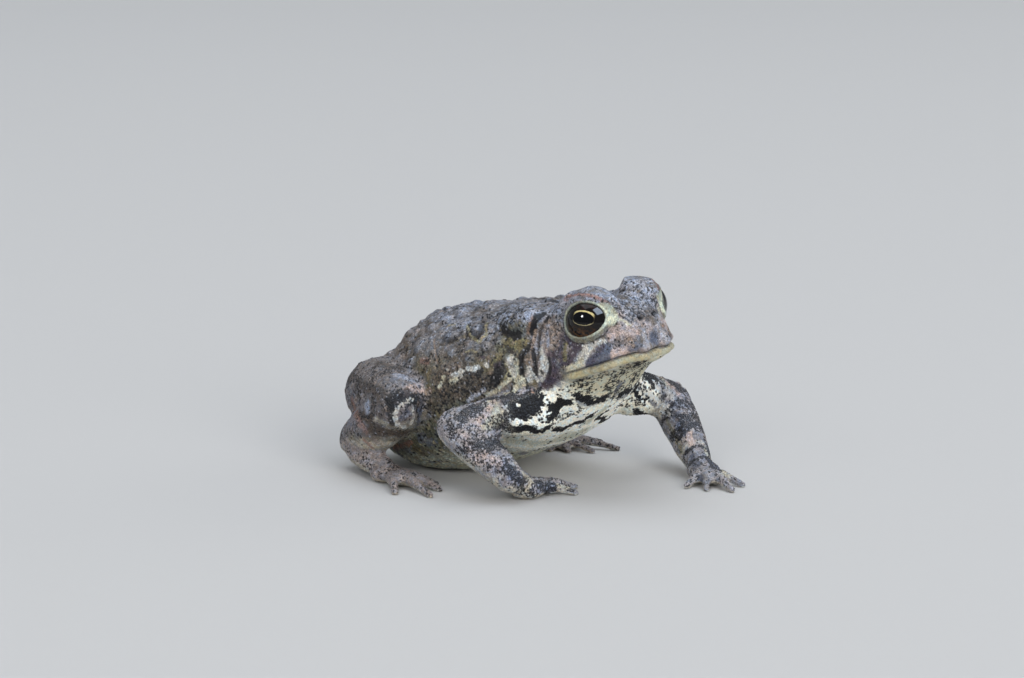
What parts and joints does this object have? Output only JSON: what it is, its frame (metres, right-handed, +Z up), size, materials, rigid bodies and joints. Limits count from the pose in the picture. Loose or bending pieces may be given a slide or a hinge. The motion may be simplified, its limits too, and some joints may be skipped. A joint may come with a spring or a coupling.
{
  "type": "american toad",
  "caption": "Squat sitting toad with a raised blunt head, bulging eyes, warty rounded back, folded hind legs and splayed front feet; a still life-size animal resting on belly and feet.",
  "frame": {"origin": "centre of the bounding box in plan, at the level of the floor", "axes": "+Z up; the toad faces -Y, its left side is +X and its right side is -X"},
  "size_m": [0.0578, 0.0712, 0.0369],
  "materials": {
    "head_skin": "moist, finely granular, satin",
    "jaw_skin": "moist, finely granular, satin",
    "body_skin": "warty, satin",
    "gland_skin": "pitted, satin",
    "ear_disc": "smooth, satin",
    "arm_skin": "granular, satin",
    "leg_skin": "granular, satin",
    "eye": "wet, glossy"
  },
  "bodies": {
    "root": {"head": "head_skin", "lower_jaw": "jaw_skin", "torso": "body_skin", "eye_right": "eye", "eye_left": "eye", "ear_right": "ear_disc", "ear_left": "ear_disc", "parotoid_right": "gland_skin", "parotoid_left": "gland_skin", "upper_arm_right": "arm_skin", "forearm_right": "arm_skin", "hand_right": "arm_skin", "upper_arm_left": "arm_skin", "forearm_left": "arm_skin", "hand_left": "arm_skin", "thigh_right": "leg_skin", "shank_right": "leg_skin", "foot_right": "leg_skin", "thigh_left": "leg_skin", "shank_left": "leg_skin", "foot_left": "leg_skin"}
  },
  "joints": []
}
